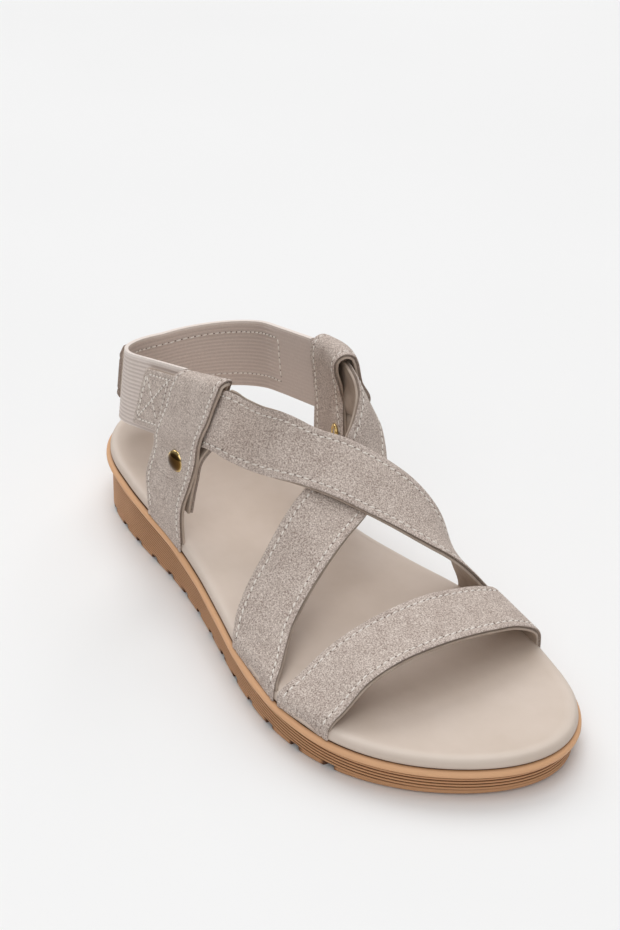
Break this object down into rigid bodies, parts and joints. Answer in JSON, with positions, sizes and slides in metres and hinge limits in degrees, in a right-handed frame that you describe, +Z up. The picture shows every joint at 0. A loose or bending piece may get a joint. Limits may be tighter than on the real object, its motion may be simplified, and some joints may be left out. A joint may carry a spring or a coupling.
{
  "type": "sandal",
  "caption": "Flat sandal with crossed suede straps over the instep, a toe strap, an elastic heel strap through riveted side loops, and a ribbed rubber sole.",
  "frame": {"origin": "middle of the sole's length and width, on the floor", "axes": "+X towards the toe, +Y towards the medial (inner) side, +Z up"},
  "size_m": [0.2492, 0.0931, 0.0905],
  "materials": {
    "outsole": "matt gum rubber with fine ribs round the wall and a smooth lip",
    "insole": "smooth padded cover with a low sheen",
    "suede": "grey-brown suede with pale stitching and a lining",
    "elastic": "ribbed elastic webbing",
    "fastening": "hook and loop fastening fabric",
    "brass": "polished brass"
  },
  "bodies": {
    "root": {"outsole": "outsole", "insole": "insole", "toe_strap": "suede", "cross_straps": "suede", "lateral_loop": "suede", "medial_loop": "suede", "heel_elastic": "elastic", "fastening_patch": "fastening", "lateral_rivet": "brass", "medial_rivet": "brass"}
  },
  "joints": []
}
